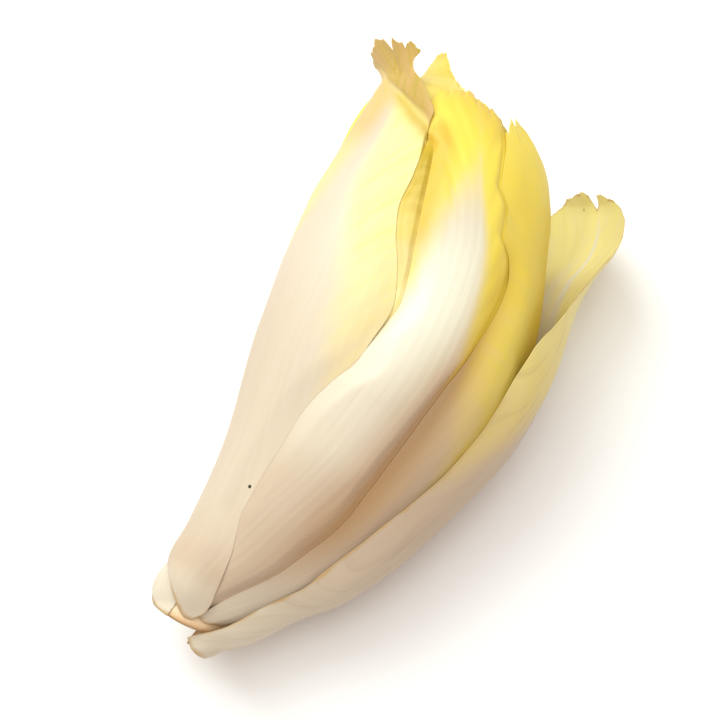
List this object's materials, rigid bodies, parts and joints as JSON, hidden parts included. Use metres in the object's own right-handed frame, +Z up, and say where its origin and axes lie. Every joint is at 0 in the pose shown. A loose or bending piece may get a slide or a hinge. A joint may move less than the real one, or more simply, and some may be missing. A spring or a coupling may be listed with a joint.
{
  "type": "belgian endive",
  "caption": "Belgian endive head cut from its root, lying on its side: pale, tightly wrapped leaves with yellow blades, an outer leaf standing loose.",
  "frame": {"origin": "centre of the bottom of the bounding box, on the surface the head lies on", "axes": "+X from the cut base towards the tips, +Y towards the head's left flank, +Z up"},
  "size_m": [0.1518, 0.073, 0.0575],
  "materials": {
    "core": "moist cut flesh",
    "outer_leaf": "waxy satin",
    "inner_leaf": "waxy satin"
  },
  "bodies": {
    "root": {"core": "core", "leaf_loose": "outer_leaf", "leaf_left": "outer_leaf", "leaf_under": "outer_leaf", "leaf_back": "outer_leaf", "leaf_strip": "outer_leaf", "leaf_right": "inner_leaf", "leaf_middle": "outer_leaf", "leaf_inner_left": "inner_leaf", "leaf_inner_right": "inner_leaf", "leaf_heart_1": "inner_leaf", "leaf_heart_2": "inner_leaf", "leaf_heart_3": "inner_leaf", "leaf_heart_4": "inner_leaf", "leaf_heart_5": "inner_leaf", "leaf_heart_6": "inner_leaf", "leaf_heart_7": "inner_leaf", "leaf_heart_8": "inner_leaf", "leaf_heart_9": "inner_leaf"}
  },
  "joints": []
}
